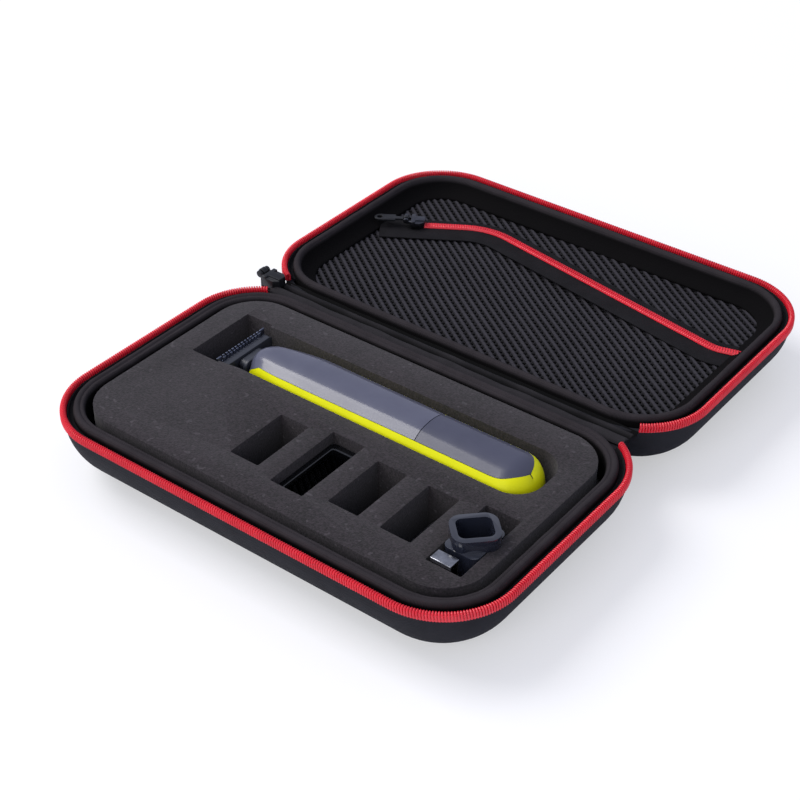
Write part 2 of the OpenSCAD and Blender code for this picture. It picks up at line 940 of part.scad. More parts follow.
module guard_clip() {
    clip_w = 9;
    clip_t = 1;
    leg = foam_top + 1.8;
    near = slot_middle - slot_l(guard_slot) / 2;
    color("#b9bcc2")
        translate([slot_x(guard_slot) - 1.5, near + fit_gap, 0]) {
            for (y = [0, 4.4])
                translate([-clip_w / 2, y, rest_z])
                    cube([clip_w, clip_t, leg - rest_z]);
            translate([-clip_w / 2, 0, leg - clip_t])
                cube([clip_w, 4.4 + clip_t, clip_t]);
        }
}

base_shell();
base_lining();
base_zip_tape();
base_zip_coil();
foam_floor_pad();
foam_insert();
hinge_strip();
zip_end_patches();
main_slider();
main_pull();
lid_shell();
lid_lining();
lid_zip_tape();
lid_zip_coil();
lid_floor_pad();
pocket_mesh_near();
pocket_mesh_far();
pocket_tape();
pocket_coil();
pocket_slider();
pocket_pull();
handle_front_shell();
handle_back_shell();
handle_rear_cover();
power_button();
charge_socket();
blade_mount();
drive_pin();
blade_frame();
blade_guard();
blade_cutter();
trim_comb();
stubble_comb();
skin_guard();
guard_clip();
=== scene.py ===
"""Looks of a zipped hard case for an electric shaver, lying open with its contents.

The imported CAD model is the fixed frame. Every class below is one sub-assembly: it holds
its sizes in millimetres, models its pieces and dresses them.
"""

from __future__ import annotations

import logging
import math
from contextlib import contextmanager
from dataclasses import dataclass, field
from enum import Enum
from typing import Callable, Iterator, Sequence

import bmesh
import bpy
from mathutils import Matrix, Vector


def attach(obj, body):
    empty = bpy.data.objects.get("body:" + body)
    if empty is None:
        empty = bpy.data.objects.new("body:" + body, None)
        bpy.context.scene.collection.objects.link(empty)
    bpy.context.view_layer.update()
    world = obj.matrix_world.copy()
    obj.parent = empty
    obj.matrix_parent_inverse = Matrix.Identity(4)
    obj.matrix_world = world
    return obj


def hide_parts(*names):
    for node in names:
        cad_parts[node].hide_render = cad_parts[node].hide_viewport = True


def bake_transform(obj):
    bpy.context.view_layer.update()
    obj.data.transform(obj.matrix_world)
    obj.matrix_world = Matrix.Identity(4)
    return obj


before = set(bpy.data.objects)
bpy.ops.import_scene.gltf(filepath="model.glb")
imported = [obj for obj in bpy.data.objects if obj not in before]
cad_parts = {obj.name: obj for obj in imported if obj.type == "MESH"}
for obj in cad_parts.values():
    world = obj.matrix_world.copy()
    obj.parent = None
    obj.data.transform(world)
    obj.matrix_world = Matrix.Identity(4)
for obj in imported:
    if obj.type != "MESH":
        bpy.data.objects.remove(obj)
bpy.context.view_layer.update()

LOG = logging.getLogger("case")
MM = 0.001
Point2 = tuple[float, float]
Point3 = tuple[float, float, float]
Piece = bpy.types.Object
Shape = Callable[[float, float], Point3]


class Body(str, Enum):
    """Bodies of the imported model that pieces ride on."""

    ROOT = "root"
    LID = "lid"
    MAIN_PULL = "main_pull"
    POCKET_SLIDER = "pocket_slider"
    POCKET_PULL = "pocket_pull"
    SHAVER = "shaver"
    BUTTON = "power_button"
    PIN = "drive_pin"
    HEAD = "blade_head"
    CUTTER = "blade_cutter"
    TRIM_COMB = "trim_comb"
    STUBBLE_COMB = "stubble_comb"
    GUARD = "skin_guard"
    CLIP = "guard_clip"


class Pick(str, Enum):
    """What is selected in edit mode, with the mesh's own name for it."""

    VERT = "verts"
    EDGE = "edges"
    FACE = "faces"


HALVES = (("base", Body.ROOT), ("lid", Body.LID))


def linear(colour: Sequence[float]) -> tuple[float, float, float, float]:
    """Turns a screen colour into a linear one.

    Args:
        colour: Red, green and blue of 0 to 255, as seen on a screen.

    Returns:
        The linear colour with an alpha of 1.
    """
    knee, slope, offset, power = 0.04045, 12.92, 0.055, 2.4
    parts = [c / 255 for c in colour]
    return (
        *(c / slope if c <= knee else ((c + offset) / (1 + offset)) ** power for c in parts),
        1.0,
    )


class Sock:
    """A shader value that takes part in Python expressions."""

    def __init__(self, paint: Paint, out: bpy.types.NodeSocket) -> None:
        """Wraps an output socket of a node in paint's tree."""
        self.paint = paint
        self.out = out

    def math(self, operation: str, *others: Sock | float) -> Sock:
        """Adds a Math node on this value and the others."""
        return self.paint.node("ShaderNodeMath", {"operation": operation}, ins=(self, *others))

    def __add__(self, other: Sock | float) -> Sock:
        """Sum."""
        return self.math("ADD", other)

    def __sub__(self, other: Sock | float) -> Sock:
        """Difference."""
        return self.math("SUBTRACT", other)

    def __rsub__(self, other: float) -> Sock:
        """Difference with the number on the left."""
        return self.paint.node("ShaderNodeMath", {"operation": "SUBTRACT"}, ins=(other, self))

    def __mul__(self, other: Sock | float) -> Sock:
        """Product."""
        return self.math("MULTIPLY", other)

    __radd__ = __add__
    __rmul__ = __mul__

    def step(self, low: float, high: float) -> Sock:
        """Smooth rise from 0 at low to 1 at high."""
        smooth = {"interpolation_type": "SMOOTHSTEP"}
        return self.paint.node("ShaderNodeMapRange", smooth, ins=(self, low, high, 0.0, 1.0))


class Paint:
    """One procedural material, or the world, and the nodes in it."""

    def __init__(self, name: str, kind: str = "materials") -> None:
        """Makes an empty node tree in a new material or world.

        Args:
            name: Name of the material or world.
            kind: Where it belongs, materials or worlds.
        """
        self.owner = getattr(bpy.data, kind).new(name)
        self.owner.use_nodes = True
        self.tree = self.owner.node_tree
        self.tree.nodes.clear()

    def plug(self, socket: bpy.types.NodeSocket, value: object) -> None:
        """Links a value or sets it on an input socket.

        Args:
            socket: The input.
            value: A value of the tree, a number or a colour.
        """
        if isinstance(value, Sock):
            self.tree.links.new(value.out, socket)
        else:
            socket.default_value = value

    def node(
        self,
        kind: str,
        settings: dict[str, object] | None = None,
        ins: Sequence[object] = (),
        out: int | str = 0,
        **named: object,
    ) -> Sock:
        """Adds a node.

        Args:
            kind: The node's type.
            settings: Properties that are set first.
            ins: Values or links of the first inputs, in order.
            out: The output that is returned.
            **named: Values or links of inputs by name, spaces as underscores.

        Returns:
            The chosen output.
        """
        made = self.tree.nodes.new(kind)
        for key, value in (settings or {}).items():
            setattr(made, key, value)
        for socket, value in zip(made.inputs, ins):
            self.plug(socket, value)
        for key, value in named.items():
            self.plug(made.inputs[key.replace("_", " ")], value)
        return Sock(self, made.outputs[out])

    def place(self, turn: Point3 = (0, 0, 0), stretch: Point3 = (1, 1, 1)) -> Sock:
        """Object coordinates, turned in degrees and stretched."""
        spot = self.node("ShaderNodeTexCoord", out="Object")
        angles = [math.radians(a) for a in turn]
        return self.node("ShaderNodeMapping", Vector=spot, Rotation=angles, Scale=stretch)

    def parts(self, place: Sock) -> tuple[Sock, Sock, Sock]:
        """X, Y and Z of a vector."""
        node = self.node("ShaderNodeSeparateXYZ", ins=(place,)).out.node
        return tuple(Sock(self, node.outputs[i]) for i in range(3))

    def noise(self, place: Sock, size_mm: float, detail: float = 2.0) -> Sock:
        """Soft noise with features of a given size."""
        scale = 1 / (size_mm * MM)
        return self.node(
            "ShaderNodeTexNoise", Vector=place, Scale=scale, Detail=detail, Roughness=0.6
        )

    def cells(self, place: Sock, size_mm: float) -> Sock:
        """Distance to the middle of the nearest cell of a given size."""
        return self.node("ShaderNodeTexVoronoi", Vector=place, Scale=1 / (size_mm * MM))

    def mix(self, low: object, high: object, share: Sock) -> Sock:
        """Colour between two colours.

        Args:
            low: Colour at a share of 0.
            high: Colour at a share of 1.
            share: How far between.

        Returns:
            The mixed colour.
        """
        made = self.tree.nodes.new("ShaderNodeMix")
        made.data_type = "RGBA"
        factor, colour_a, colour_b, result = 0, 6, 7, 2
        for index, value in ((factor, share), (colour_a, low), (colour_b, high)):
            self.plug(made.inputs[index], value)
        return Sock(self, made.outputs[result])

    def bump(self, height: Sock, depth_mm: float) -> Sock:
        """Normal from a height of 0 to 1."""
        return self.node("ShaderNodeBump", Strength=1.0, Distance=depth_mm * MM, Height=height)

    def end(self, value: Sock, kind: str = "ShaderNodeOutputMaterial") -> None:
        """Links the last shader to the tree's output."""
        self.plug(self.tree.nodes.new(kind).inputs[0], value)

    def surface(self, **named: object) -> bpy.types.Material:
        """Adds the shader and the output.

        Args:
            **named: Values or links of the shader's inputs by name.

        Returns:
            The finished material.
        """
        self.end(self.node("ShaderNodeBsdfPrincipled", **named))
        return self.owner


@dataclass(frozen=True)
class Cloth:
    """Woven or brushed cloth, with painted shade below a set height and between the net's
    ribs, and painted highlight above that height and on the ribs.
    """

    name: str
    colour: Point3
    worn_and_lit: Point3
    thread_mm: float
    relief_mm: float
    rough: float
    gloss: float
    # Height in mm below which the cloth is painted in shade, with painted highlight just above
    # it.
    painted_shade_below: float | None = None
    # Pitch in mm of the net's ribs, for painted highlight on them and painted shade between
    # them.
    rib_mm: float | None = None

    def painted_rib_shade(self, paint: Paint, share: Sock) -> Sock:
        """Painted highlight on the ribs and painted shade in the hollows, in step with the
        net's own ribs.

        Args:
            paint: The cloth's material.
            share: How far towards its lighter colour the cloth is without the painted ribs.

        Returns:
            How far towards it the cloth is with them.
        """
        slant = paint.parts(paint.place((0, 0, -Pocket.rib_angle)))[1]
        middle = RIM.lid_y * math.cos(math.radians(Pocket.rib_angle)) * MM
        wave = ((slant - middle) * (math.tau / (self.rib_mm * MM))).math("COSINE")
        return share * 0.3 + wave.step(-0.35, 0.9) * 0.7

    def material(self) -> bpy.types.Material:
        """Weave from two crossing rows of threads, mottled, with painted shade below a set
        height and painted highlight above it where set.
        """
        paint = Paint(self.name)
        place = paint.place()
        x, y, z = paint.parts(place)
        turns = math.tau / (self.thread_mm * MM)
        warp = ((x + y + 0.55 * z) * turns).math("SINE")
        weft = ((x - y + 0.8 * z) * turns).math("SINE")
        weave = (warp * weft) * 0.5 + 0.5
        mottle = paint.noise(place, 9.0, 4.0)
        fibre = paint.noise(place, 0.35, 3.0)
        share = (weave * 0.35 + mottle * 0.45 + fibre * 0.35).step(0.3, 0.85)
        # Painted highlight on the net's ribs and painted shade in the hollows between them.
        if self.rib_mm is not None:
            share = self.painted_rib_shade(paint, share)
        # Painted shade below the set height, on the lip slopes, the hinge's valley and low
        # pads, and painted highlight on the tops above it.
        if self.painted_shade_below is not None:
            edge, rise = self.painted_shade_below * MM, 2 * MM
            share = (share * 0.5 + 0.5) * z.step(edge, edge + rise)
        return paint.surface(
            Base_Color=paint.mix(linear(self.colour), linear(self.worn_and_lit), share),
            Roughness=self.rough - mottle * 0.08,
            Specular_IOR_Level=self.gloss,
            Normal=paint.bump(weave * 0.7 + fibre * 0.3, self.relief_mm),
        )


@dataclass(frozen=True)
class Foam:
    """Cut closed-cell foam with a light and dark grain, and painted shade that darkens it low
    down in its cuts.
    """

    name: str
    dark: Point3
    light: Point3
    lint: Point3
    grain_mm: float = 1.0
    lint_mm: float = 2.2
    patch_mm: float = 22.0
    shade_deepest_mm: float = 8.0
    shade_ends_mm: float = 28.5

    def material(self) -> bpy.types.Material:
        """Grain at two sizes, with the fine pits of cut cells and a little lint."""
        paint = Paint(self.name)
        place = paint.place()
        grain = paint.noise(place, self.grain_mm, 3.0)
        pits = paint.cells(place, self.grain_mm * 0.7)
        broad = paint.noise(place, self.patch_mm, 2.0)
        lint = paint.noise(place, self.lint_mm, 0.0).step(0.76, 0.8)
        share = (grain * 0.75 + pits * 0.2 + broad * 0.2).step(0.36, 0.78)
        height = paint.parts(place)[2]
        # Painted shade: the foam darkens towards the bottom of its cuts, where the slots lie
        # in shadow.
        painted_depth_shade = height.step(self.shade_deepest_mm * MM, self.shade_ends_mm * MM) * 0.8 + 0.2
        tone = paint.mix(linear(self.dark), linear(self.light), share)
        tone = paint.mix((0, 0, 0, 1), tone, painted_depth_shade)
        return paint.surface(
            Base_Color=paint.mix(tone, linear(self.lint), lint * 0.15),
            Roughness=0.95 - grain * 0.1,
            Specular_IOR_Level=0.12,
            Sheen_Weight=0.12,
            Sheen_Roughness=0.7,
            Normal=paint.bump(grain * 0.6 + pits * 0.4, 0.22),
        )


@dataclass(frozen=True)
class Moulded:
    """Moulded plastic, plain or glossy."""

    name: str
    colour: Point3
    rough: float
    tint: Point3 | None = None
    grain_mm: float = 0.4
    relief_mm: float = 0.01
    coat: float = 0.0
    gloss: float = 0.5

    def material(self) -> bpy.types.Material:
        """Fine spark texture, with faint cloudiness and handling marks."""
        paint = Paint(self.name)
        place = paint.place()
        grain = paint.noise(place, self.grain_mm, 2.0)
        cloud = paint.noise(place, 14.0, 3.0).step(0.3, 0.75)
        marks = paint.noise(paint.place((0, 0, 35), (1, 7, 1)), 9.0, 4.0)
        tint = self.tint or tuple(c * 0.86 for c in self.colour)
        return paint.surface(
            Base_Color=paint.mix(linear(self.colour), linear(tint), cloud),
            Roughness=self.rough + marks * 0.12 - 0.06,
            Specular_IOR_Level=self.gloss,
            Coat_Weight=self.coat,
            Coat_Roughness=0.08,
            Normal=paint.bump(grain, self.relief_mm),
        )


@dataclass(frozen=True)
class Metal:
    """Plated, enamelled or ground metal."""

    name: str
    colour: Point3
    rough: float
    metal: float = 1.0
    brush: Point3 = (1, 1, 1)

    def material(self) -> bpy.types.Material:
        """Fine scratches along one direction and darker handling marks."""
        paint = Paint(self.name)
        lines = paint.noise(paint.place((0, 0, 0), self.brush), 0.5, 3.0)
        cloud = paint.noise(paint.place(), 5.0, 3.0).step(0.35, 0.8)
        dull = tuple(c * 0.72 for c in self.colour)
        return paint.surface(
            Base_Color=paint.mix(linear(self.colour), linear(dull), cloud),
            Metallic=self.metal,
            Roughness=self.rough + lines * 0.14 - 0.05,
            Normal=paint.bump(lines, 0.012),
        )


class Finishes:
    """Every finish of the case and its contents, each made once."""

    ALL = {
        made.name: made
        for made in (
            Cloth("shell_cloth", (20, 20, 25), (34, 34, 40), 0.9, 0.07, 0.8, 0.22),
            # Lining: painted shade below 26.6 mm on the lip slopes, painted highlight on the
            # lip tops.
            Cloth("lining_cloth", (13, 12, 13), (58, 54, 57), 0.7, 0.05, 0.95, 0.06, 26.6),
            # Hinge: painted shade in the strip's valley below 25.4 mm, painted highlight on
            # its folds.
            Cloth("hinge_cloth", (9, 9, 10), (52, 50, 53), 0.9, 0.07, 0.9, 0.1, 25.4),
            Cloth("zip_tape", (20, 19, 21), (34, 33, 36), 0.8, 0.08, 0.9, 0.1),
            # Net: painted highlight on the ribs and painted shade between them.
            Cloth("pocket_mesh", (9, 9, 10), (62, 60, 66), 0.6, 0.06, 0.8, 0.15, rib_mm=3.2),
            # Foam: painted shade darkening the cuts low down.
            Foam("foam", (13, 10, 12), (46, 39, 44), (116, 110, 116)),
            Moulded("zip_coil", (228, 36, 54), 0.42, (214, 26, 46), 0.5, 0.03, 0.1),
            Metal("slider_black", (30, 31, 35), 0.38, 0.35),
            Metal("slider_metal", (84, 85, 92), 0.28, 1.0, (1, 6, 1)),
            Moulded("handle_lime", (238, 238, 6), 0.5, (230, 232, 4), 0.5, 0.012, gloss=0.25),
            Moulded("handle_grey", (84, 86, 104), 0.32, (78, 80, 98), 0.6, 0.006, 0.3),
            Moulded("cover_grey", (68, 70, 88), 0.4, (62, 64, 82), 0.6, 0.006, 0.12),
            Moulded("button_grey", (176, 180, 186), 0.36),
            Moulded("dark_plastic", (50, 53, 62), 0.45),
            Metal("steel", (112, 118, 136), 0.38, 1.0, (1, 1, 8)),
            Moulded("comb_black", (9, 10, 13), 0.14, None, 0.6, 0.006, 0.25),
            Moulded("comb_smoke", (74, 74, 80), 0.3, None, 0.6, 0.006, 0.4),
            Moulded("guard_grey", (34, 37, 48), 0.14, (28, 31, 41), 0.6, 0.006, 1.0),
            Metal("clip_silver", (164, 166, 172), 0.2, 1.0, (1, 1, 5)),
        )
    }
    _made: dict[str, bpy.types.Material] = {}

    @classmethod
    def get(cls, name: str) -> bpy.types.Material:
        """The material of one finish."""
        if name not in cls._made:
            cls._made[name] = cls.ALL[name].material()
        return cls._made[name]


def clear() -> None:
    """Leaves edit mode and selects nothing."""
    active = bpy.context.view_layer.objects.active
    if active is not None and active.mode != "OBJECT":
        bpy.ops.object.mode_set(mode="OBJECT")
    bpy.ops.object.select_all(action="DESELECT")


def take(*pieces: Piece) -> None:
    """Selects these pieces alone, with the first one active.

    Args:
        *pieces: One piece or more.
    """
    clear()
    for piece in pieces:
        piece.select_set(True)
    bpy.context.view_layer.objects.active = pieces[0]


def link(name: str, data: bpy.types.ID) -> Piece:
    """Adds a mesh, camera or lamp to the scene as an object."""
    made = bpy.data.objects.new(name, data)
    bpy.context.scene.collection.objects.link(made)
    return made


@contextmanager
def editing(piece: Piece) -> Iterator[None]:
    """Edit mode on one piece, with all its vertices selected.

    Args:
        piece: The piece.
    """
    take(piece)
    bpy.ops.object.mode_set(mode="EDIT")
    bpy.ops.mesh.select_mode(type="VERT")
    bpy.ops.mesh.select_all(action="SELECT")
    try:
        yield
    finally:
        bpy.ops.object.mode_set(mode="OBJECT")


def primitive(kind: str, name: str, **settings: object) -> Piece:
    """Adds a primitive, with its place put into its mesh.

    Args:
        kind: Which primitive, such as grid or cylinder.
        name: Name of the piece.
        **settings: Size and place.

    Returns:
        The new object.
    """
    clear()
    getattr(bpy.ops.mesh, f"primitive_{kind}_add")(**settings)
    piece = bpy.context.object
    piece.name = name
    bpy.ops.object.transform_apply(location=True, rotation=True, scale=True)
    return piece


def select(piece: Piece, what: Pick, test: Callable[[object, Vector], bool]) -> None:
    """Selects what passes a test, and nothing else, in edit mode.

    Args:
        piece: The piece in edit mode.
        what: Vertices, edges or faces.
        test: Says whether an item with its middle point is wanted.
    """
    bpy.ops.mesh.select_mode(type=what.name)
    bpy.ops.mesh.select_all(action="DESELECT")
    mesh = bmesh.from_edit_mesh(piece.data)
    for item in getattr(mesh, what.value):
        corners = [item] if what is Pick.VERT else item.verts
        middle = sum((v.co for v in corners), Vector()) / len(corners)
        if test(item, middle):
            item.select_set(True)
    mesh.select_flush_mode()
    bmesh.update_edit_mesh(piece.data)


def modify(piece: Piece, kind: str, **settings: object) -> None:
    """Adds a modifier and applies it.

    Args:
        piece: The piece.
        kind: The modifier's type.
        **settings: Its properties.
    """
    take(piece)
    made = piece.modifiers.new(kind, kind)
    for key, value in settings.items():
        setattr(made, key, value)
    bpy.ops.object.modifier_apply(modifier=made.name)


def tidy(piece: Piece, gap: float = 0.005) -> None:
    """Merges doubles and turns the faces outwards."""
    with editing(piece):
        bpy.ops.mesh.remove_doubles(threshold=gap)
        bpy.ops.mesh.normals_make_consistent(inside=False)


def cap(piece: Piece, sides: int = 0) -> None:
    """Closes the open ends of a piece that have up to so many sides, 0 for any.

    Args:
        piece: The open piece.
        sides: The most sides that an end can have.
    """
    with editing(piece):
        bpy.ops.mesh.select_mode(type="EDGE")
        bpy.ops.mesh.select_all(action="DESELECT")
        bpy.ops.mesh.select_non_manifold()
        bpy.ops.mesh.fill_holes(sides=sides)


def solid(name: str, verts: list, edges: list, faces: list) -> Piece:
    """Adds a piece with the mesh that these lists describe."""
    mesh = bpy.data.meshes.new(name)
    mesh.from_pydata(verts, edges, faces)
    return link(name, mesh)


def surface(name: str, across: int, along: int, shape: Shape) -> Piece:
    """A grid laid over a shape.

    Args:
        name: Name of the piece.
        across: Faces in the first direction.
        along: Faces in the second direction.
        shape: Gives the point for two shares of 0 to 1.

    Returns:
        The shaped grid.
    """
    size = {"x_subdivisions": across, "y_subdivisions": along, "size": 1}
    piece = primitive("grid", name, **size)
    for vert in piece.data.vertices:
        vert.co = shape(vert.co.x + 0.5, vert.co.y + 0.5)
    return piece


def repeat(template: Piece, name: str, places: Sequence[Matrix]) -> Piece:
    """Copies a template to many places as one piece, and removes the template.

    Args:
        template: What is copied.
        name: Name of the new piece.
        places: Where each copy goes.

    Returns:
        The joined copies.
    """
    verts: list[Vector] = []
    faces: list[list[int]] = []
    corners = [v.co.copy() for v in template.data.vertices]
    loops = [list(p.vertices) for p in template.data.polygons]
    for place in places:
        start = len(verts)
        verts.extend(place @ co for co in corners)
        faces.extend([start + i for i in loop] for loop in loops)
    bpy.data.objects.remove(template)
    return solid(name, verts, [], faces)


def join(name: str, *pieces: Piece) -> Piece:
    """Joins pieces into the first one."""
    take(*pieces)
    bpy.ops.object.join()
    pieces[0].name = name
    return pieces[0]


def finish(
    piece: Piece, body: Body | None, slot: str, replaces: Sequence[str],
    angle: float = 40.0, millimetres: bool = True, dress: str | None = None,
) -> Piece:
    """Puts a modelled piece into the frame, smooth, dressed and riding on its body.

    Args:
        piece: The modelled piece.
        body: The body that it rides on, or None to leave it unattached.
        slot: Name of the finish that dresses it.
        replaces: CAD nodes that it stands for.
        angle: Edges sharper than this stay sharp, in degrees.
        millimetres: Whether the mesh is still in millimetres.
        dress: The finish, where it isn't the slot's own.

    Returns:
        The same piece.
    """
    if millimetres:
        piece.data.transform(Matrix.Scale(MM, 4))
    take(piece)
    bpy.ops.object.shade_smooth_by_angle(angle=math.radians(angle))
    piece.data.materials.clear()
    piece.data.materials.append(Finishes.get(dress or slot))
    if body is not None:
        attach(piece, body.value)
    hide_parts(*replaces)
    LOG.info("%s: %d faces", piece.name, len(piece.data.polygons))
    return piece


def refined(
    node: str, body: Body, slot: str, round_mm: float, dress: str | None = None
) -> Piece:
    """A hard part with its moulded or tumbled edges, from a merged copy of its node.

    Args:
        node: The CAD node.
        body: The body that it rides on.
        slot: Name of the finish that dresses it.
        round_mm: Radius of the edges.
        dress: The finish, where it isn't the slot's own.

    Returns:
        The finished piece.
    """
    piece = link(f"{node}_piece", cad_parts[node].data.copy())
    with editing(piece):
        bpy.ops.mesh.remove_doubles(threshold=2e-6)
        bpy.ops.mesh.dissolve_limited(angle_limit=math.radians(1.2))
    modify(
        piece, "BEVEL", width=round_mm * MM, segments=2, harden_normals=False,
        limit_method="ANGLE", angle_limit=math.radians(35.0),
    )
    return finish(piece, body, slot, (node,), millimetres=False, dress=dress)


def slide(way: Sequence[float]) -> None:
    """Extrudes what is selected by a vector."""
    bpy.ops.mesh.extrude_region_move(TRANSFORM_OT_translate={"value": way})


@dataclass
class Path:
    """A line of straights and bends in a plane."""

    start: Point2
    heading: float
    stretches: Sequence[Point2]

    @property
    def total(self) -> float:
        """Length of the whole line."""
        return sum(length for length, _ in self.stretches)

    def at(self, s: float) -> Point3:
        """Point and heading at a distance along the line.

        Args:
            s: Distance from its start.

        Returns:
            X, Y and the heading in degrees.
        """
        x, y = self.start
        heading = self.heading
        for length, radius in self.stretches:
            part = min(s, length)
            a = math.radians(heading)
            if radius == 0.0:
                x, y = x + part * math.cos(a), y + part * math.sin(a)
            else:
                turn = part / radius
                x += radius * (math.sin(a + turn) - math.sin(a))
                y -= radius * (math.cos(a + turn) - math.cos(a))
                heading += math.degrees(turn)
            s -= part
            if s <= 0:
                break
        return x, y, heading

    def beside(self, s: float, offset: float) -> Point2:
        """Point at a distance to the left of the line."""
        x, y, heading = self.at(s)
        a = math.radians(heading)
        return x - offset * math.sin(a), y + offset * math.cos(a)

    def stood(self, s: float, height: float = 0.0, lean: float = 0.0) -> Matrix:
        """Place on the line with its X along it, turned further by a lean in degrees."""
        x, y, heading = self.at(s)
        turned = Matrix.Rotation(math.radians(heading + lean), 4, "Z")
        return Matrix.Translation((x, y, height)) @ turned

    def y_at(self, x: float) -> float:
        """Where a line that runs towards larger X crosses a place along X.

        Args:
            x: The place.

        Returns:
            Y of the line there.
        """
        low, high = 0.0, self.total
        for _ in range(24):
            middle = (low + high) / 2
            if self.at(middle)[0] < x:
                low = middle
            else:
                high = middle
        return self.at(low)[1]


@dataclass
class Rim:
    """The rounded outline that shells, linings and zips follow."""

    length: float = 212.0
    width: float = 132.0
    corner: float = 32.0
    lid_y: float = 134.4
    hinge_y: float = 67.2
    zip_end: float = 91.0
    turn_steps: int = 16
    straight_steps: int = 10

    @property
    def core_x(self) -> float:
        """Distance from the middle to the corners' axes along the case."""
        return self.length / 2 - self.corner

    @property
    def core_y(self) -> float:
        """Distance from the middle to the corners' axes across the case."""
        return self.width / 2 - self.corner

    @property
    def zip_angle(self) -> float:
        """Angle on the hinge-side corners at which the zip ends, in radians."""
        return math.acos((self.zip_end - self.core_x) / self.corner)

    def sweep(
        self, name: str, profile: Sequence[Point2], closed: bool = True, zip_only: bool = False
    ) -> Piece:
        """Extrudes a profile along the straights and spins it round the corners.

        Args:
            name: Name of the piece.
            profile: Points of (inset from the outer edge, height).
            closed: Whether the profile's last point joins its first.
            zip_only: Leaves out the stretch along the hinge.

        Returns:
            The swept piece.
        """
        quarter = math.pi / 2
        first = self.zip_angle if zip_only else quarter
        cos, sin = math.cos(first), math.sin(first)
        reaches = [(self.corner - inset, z) for inset, z in profile]
        points = [(self.core_x + r * cos, self.core_y + r * sin, z) for r, z in reaches]
        count = len(points)
        edges = [(i, (i + 1) % count) for i in range(count if closed else count - 1)]
        piece = solid(name, points, edges, [])
        corners = ((1, 1, first), (1, -1, quarter), (-1, -1, quarter), (-1, 1, first))
        span_x, span_y = 2 * self.core_x, 2 * self.core_y
        slides = [(0, -span_y, 0), (-span_x, 0, 0), (0, span_y, 0)]
        if not zip_only:
            slides.append((span_x, 0, 0))
        with editing(piece):
            for i, (sx, sy, angle) in enumerate(corners):
                centre = (sx * self.core_x, sy * self.core_y, 0)
                bpy.ops.mesh.spin(
                    steps=self.turn_steps, angle=angle, center=centre, axis=(0, 0, 1)
                )
                for _ in range(self.straight_steps if i < len(slides) else 0):
                    slide([c / self.straight_steps for c in slides[i]])
        if zip_only:
            cap(piece, len(profile) + 2)
        tidy(piece)
        return piece

    def placed(self, piece: Piece, body: Body) -> Piece:
        """Turns a piece of the base half into its twin in the open lid, if it is the lid's.

        Args:
            piece: A piece modelled in the base half.
            body: The body that it belongs to.

        Returns:
            The same piece.
        """
        if body is Body.LID:
            flip = Matrix.Scale(-1, 4, (0, 1, 0))
            piece.data.transform(Matrix.Translation((0, self.lid_y, 0)) @ flip)
            tidy(piece)
        return piece

    def walk(self, pitch: float, inset: float) -> list[Matrix]:
        """Places along the zip, each with its X along it and its Y outwards.

        Args:
            pitch: Distance between places.
            inset: How far inside the outer edge they lie.

        Returns:
            A matrix for each place.
        """
        reach, turn = self.corner - inset, self.zip_angle
        start = (self.core_x + reach * math.cos(turn), self.core_y + reach * math.sin(turn))
        end, bend = (reach * turn, -reach), (reach * math.pi / 2, -reach)
        side, front = (2 * self.core_y, 0.0), (2 * self.core_x, 0.0)
        stretches = (end, side, bend, front, bend, side, end)
        line = Path(start, math.degrees(turn) - 90, stretches)
        count = int(line.total / pitch)
        return [line.stood(i * line.total / count) for i in range(count + 1)]


RIM = Rim()


@dataclass
class Shells:
    """Moulded shells of both halves, covered in black cloth."""

    top: float = 25.4
    wall: float = 2.4
    inset: float = 1.2
    edge: float = 26.0
    straight: float = 0.4
    chamfer: float = 0.35
    arc_steps: int = 16

    def profile(self) -> list[Point2]:
        """Inner wall up, round the rim and down the outer wall."""
        inner = self.arc(self.edge - self.wall)
        rim = [
            (self.inset + self.wall - self.chamfer, self.top),
            (self.inset + self.chamfer, self.top),
        ]
        return inner + rim + self.arc(self.edge)[::-1]

    def arc(self, radius: float) -> list[Point2]:
        """One wall from the bottom up, round the edge.

        Args:
            radius: Radius of the edge on that wall.

        Returns:
            Points of (inset, height).
        """
        axis = RIM.corner - self.inset - self.edge
        low = -math.pi / 2
        lift = math.asin((self.top - self.straight - self.edge) / radius)
        points = []
        for i in range(self.arc_steps + 1):
            a = low + (lift - low) * i / self.arc_steps
            reach = axis + radius * math.cos(a)
            points.append((RIM.corner - reach, self.edge + radius * math.sin(a)))
        return points

    def build(self) -> None:
        """Models both shells."""
        for half, body in HALVES:
            name = f"{half}_shell"
            piece = RIM.sweep(f"{name}_piece", self.profile(), closed=False)
            cap(piece)
            tidy(piece)
            RIM.placed(piece, body)
            finish(piece, body, "shell_cloth", (name,))


